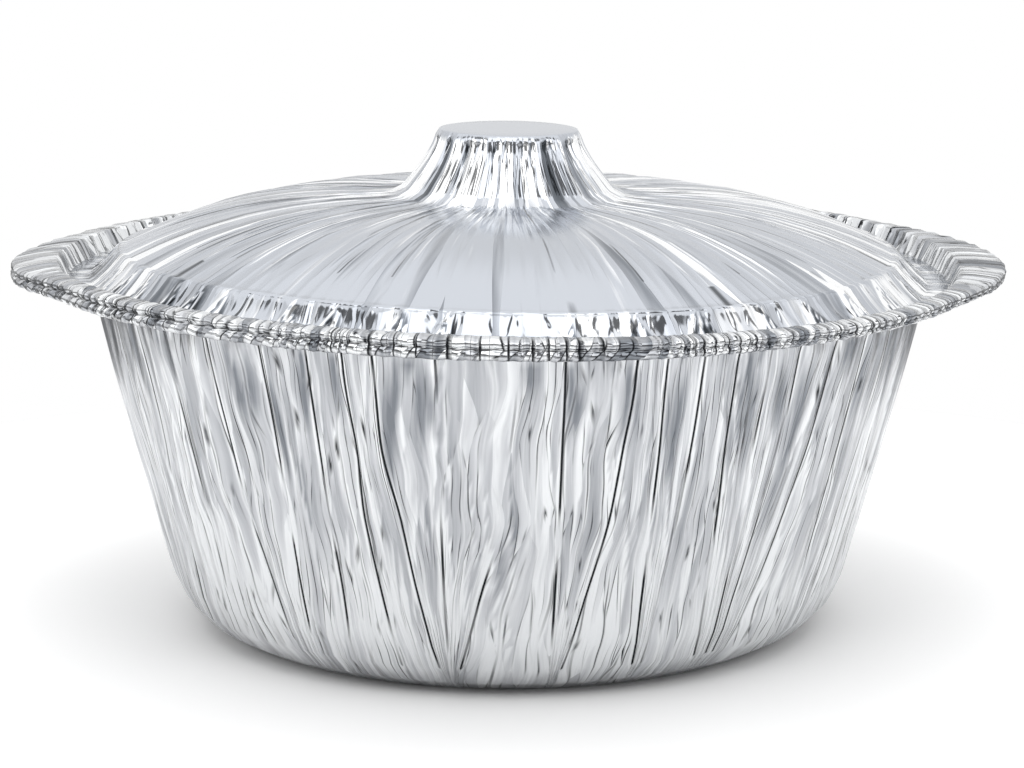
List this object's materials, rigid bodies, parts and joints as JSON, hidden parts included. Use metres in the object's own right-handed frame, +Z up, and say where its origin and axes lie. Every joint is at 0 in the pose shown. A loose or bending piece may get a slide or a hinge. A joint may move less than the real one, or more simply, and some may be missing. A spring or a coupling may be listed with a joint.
{
  "type": "foil cooking pot",
  "caption": "Round foil cooking pot with a tapered wrinkled wall, a rolled rim drawn out into ear handles, and a shallow domed lid with a flat-topped knob.",
  "frame": {"origin": "centre of the bounding box's bottom, in the middle under the pot's base", "axes": "+X from the left ear to the right ear, +Y away from the camera, +Z up"},
  "size_m": [0.3181, 0.2996, 0.1578],
  "materials": {
    "pot_foil": "satin foil with fine upright wrinkles",
    "lid_foil": "bright foil with radial creases and a glossy pleated band"
  },
  "bodies": {
    "root": {"pot": "pot_foil", "lid": "lid_foil"}
  },
  "joints": []
}
